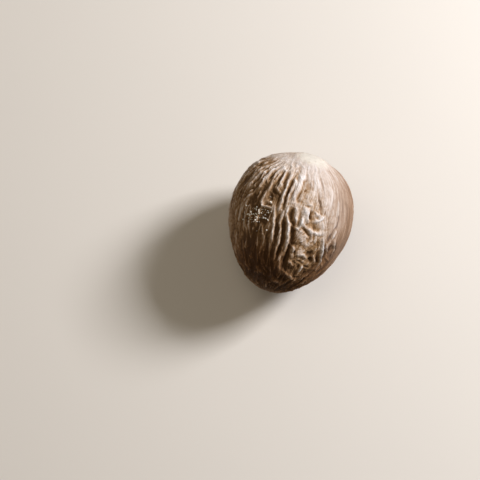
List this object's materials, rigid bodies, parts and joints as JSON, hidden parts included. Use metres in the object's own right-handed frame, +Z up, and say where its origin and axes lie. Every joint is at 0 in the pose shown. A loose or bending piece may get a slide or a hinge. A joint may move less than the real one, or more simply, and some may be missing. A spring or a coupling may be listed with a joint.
{
  "type": "whole nutmeg",
  "caption": "Whole dried nutmeg kernel, a wrinkled brown oval seed with a pale scar at one end, lying on its side on a small flat spot.",
  "frame": {"origin": "middle of the underside of the bounding box, on the small flat spot that the kernel rests on", "axes": "+Y along the long axis towards the end with the seed scar, +Z up, +X to the right seen from the narrow end"},
  "size_m": [0.021, 0.0246, 0.02],
  "materials": {
    "kernel_skin": "dry, dull, grey-brown wrinkled seed skin with a pale scar"
  },
  "bodies": {
    "root": {"nutmeg": "kernel_skin"}
  },
  "joints": []
}
